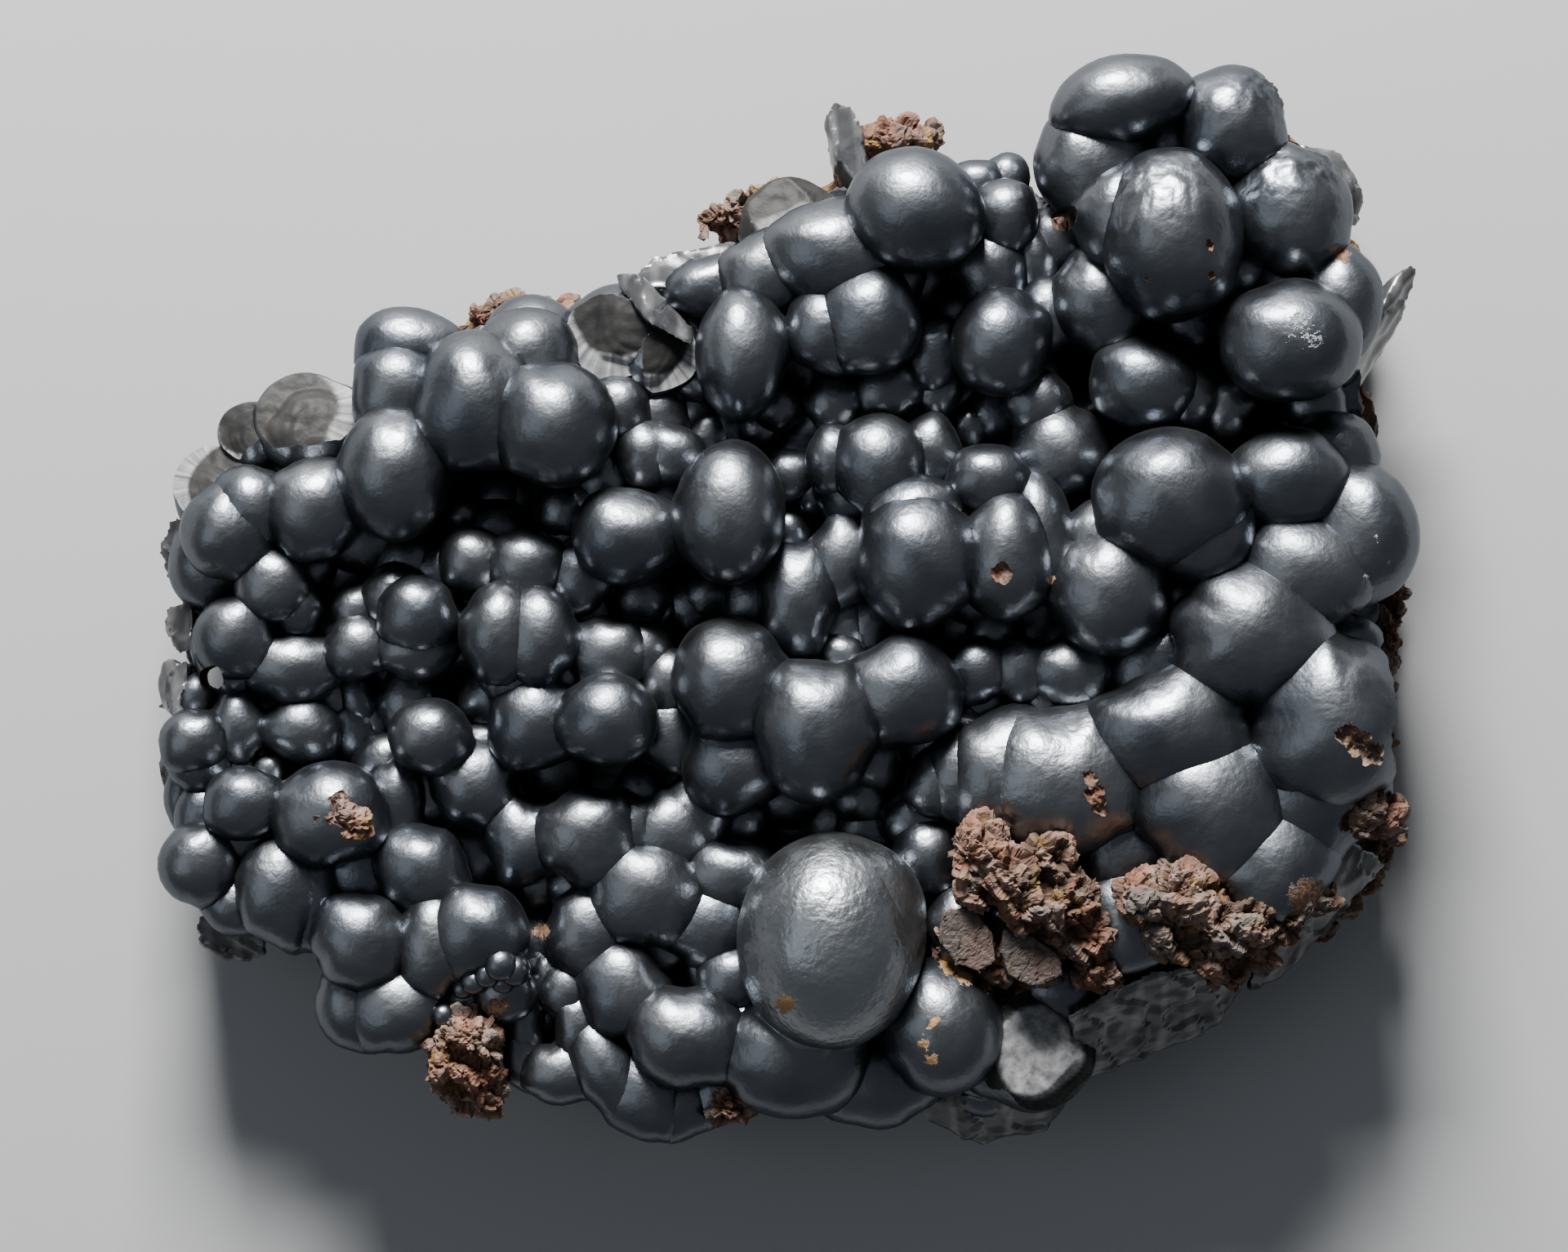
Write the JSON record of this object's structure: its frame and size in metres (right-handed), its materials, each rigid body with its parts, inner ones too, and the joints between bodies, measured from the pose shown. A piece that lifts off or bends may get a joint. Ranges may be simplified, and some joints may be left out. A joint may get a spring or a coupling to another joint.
{
  "type": "romanechite mineral specimen",
  "caption": "Botryoidal crust of dark satin romanechite globules on brown limonite matrix, lying on its flat back.",
  "frame": {"origin": "on the resting plane, under the middle of the specimen's box", "axes": "+X to the right of the face and along its length, +Y to the top of the face, +Z out of the face"},
  "size_m": [0.2223, 0.1906, 0.0609],
  "materials": {
    "romanechite": "satin",
    "limonite": "matte"
  },
  "bodies": {
    "root": {"romanechite_crust": "romanechite", "limonite_matrix": "limonite", "limonite_clot_middle": "limonite", "limonite_clot_right": "limonite", "limonite_clot_lower": "limonite", "limonite_plug": "limonite", "limonite_patch_right": "limonite", "limonite_patch_foot": "limonite"}
  },
  "joints": []
}
